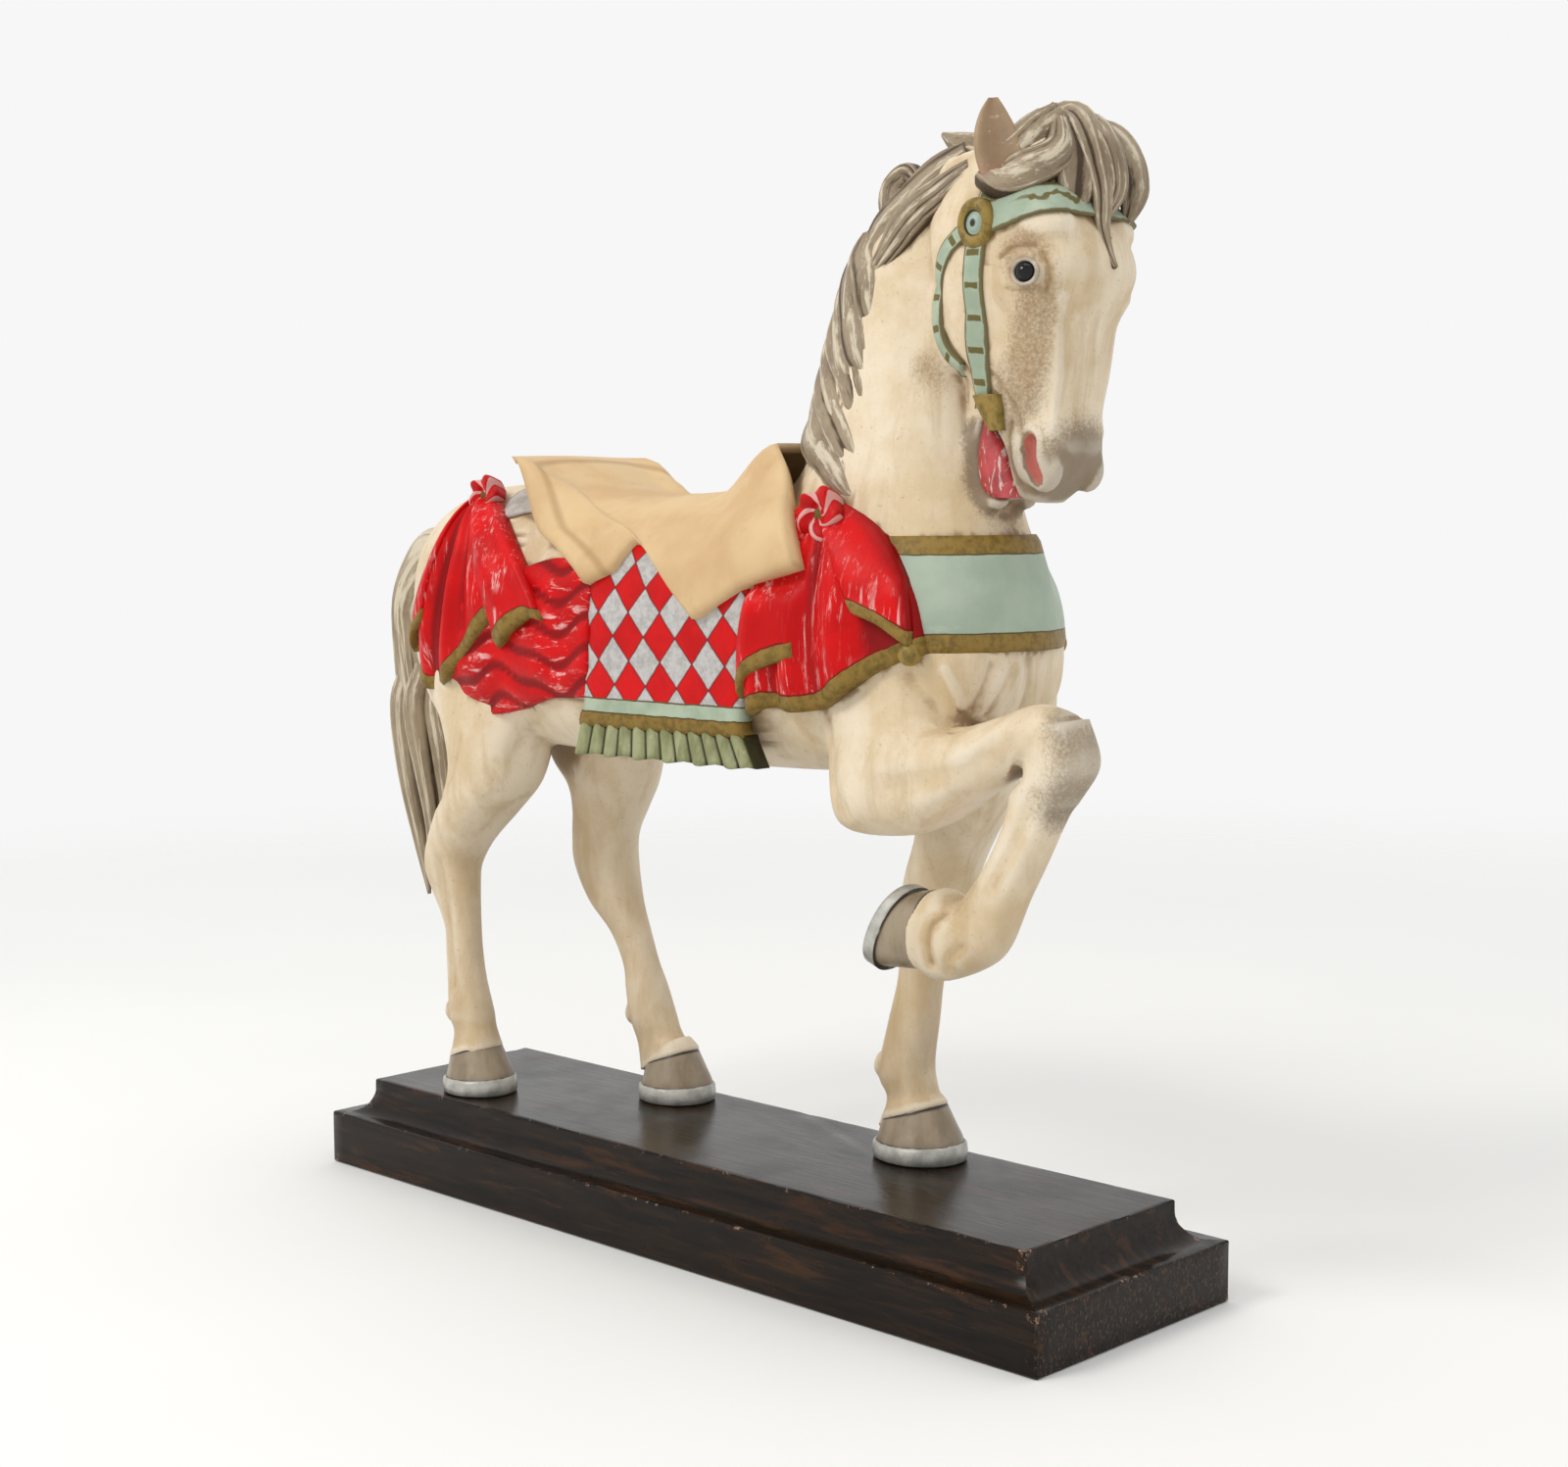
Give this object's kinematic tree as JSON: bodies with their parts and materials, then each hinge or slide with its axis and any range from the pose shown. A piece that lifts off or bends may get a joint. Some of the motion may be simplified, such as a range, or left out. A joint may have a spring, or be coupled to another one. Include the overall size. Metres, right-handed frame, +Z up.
{
  "type": "carousel horse",
  "caption": "Carved and painted carousel horse with saddle, draped cloths and bridle, one foreleg raised, standing on a moulded rectangular wooden plinth.",
  "frame": {"origin": "centre of the plinth's underside", "axes": "+X the way the horse faces, along the plinth; +Y the horse's left; +Z up"},
  "size_m": [0.423, 0.113, 0.4323],
  "materials": {
    "painted_wood": "aged ivory paint over carved wood, antiqued with brown, with red, tan, mint and old gold areas",
    "stained_wood": "dark brown stain, satin, rubbed pale along the edges",
    "glass_bead": "glossy black bead"
  },
  "bodies": {
    "root": {"plinth": "stained_wood", "horse": "painted_wood", "eye_right": "glass_bead", "eye_left": "glass_bead"}
  },
  "joints": []
}
